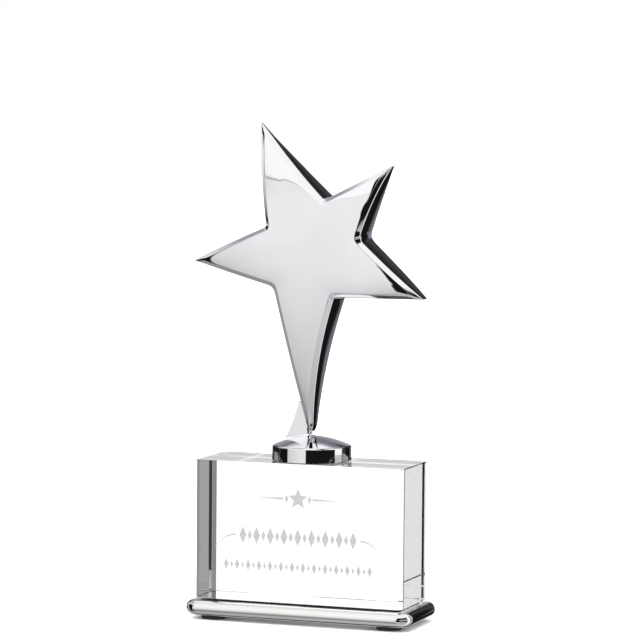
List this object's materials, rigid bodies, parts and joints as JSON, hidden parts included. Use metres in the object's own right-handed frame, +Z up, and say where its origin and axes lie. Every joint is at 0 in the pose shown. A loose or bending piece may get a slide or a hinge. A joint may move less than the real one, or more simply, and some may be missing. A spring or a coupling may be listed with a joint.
{
  "type": "star trophy",
  "caption": "Award trophy: a polished cast metal star on a tapering leg, on a domed round cap, on a clear crystal block, on a bullnosed metal plate with rubber feet.",
  "frame": {"origin": "on the ground plane, at the middle of the whole trophy's outline seen from above", "axes": "+Z up; -Y is the front, the way the star's face and the block's broad face look; +X to the right seen from the front"},
  "size_m": [0.1235, 0.05, 0.2495],
  "materials": {
    "polished_chrome": "mirror-polished chrome plating",
    "plate_chrome": "polished chrome plating",
    "crystal": "polished optical crystal",
    "adhesive_film": "adhesive film",
    "zinc_plate": "zinc-plated steel",
    "black_rubber": "matte moulded rubber"
  },
  "bodies": {
    "root": {"star": "polished_chrome", "leg_brace": "polished_chrome", "cap": "polished_chrome", "washer": "zinc_plate", "hex_nut": "zinc_plate", "cap_bond_pad": "adhesive_film", "crystal_block": "crystal", "block_bond_sheet": "adhesive_film", "base_plate": "plate_chrome", "foot_front_left": "black_rubber", "foot_front_right": "black_rubber", "foot_rear_left": "black_rubber", "foot_rear_right": "black_rubber"}
  },
  "joints": []
}
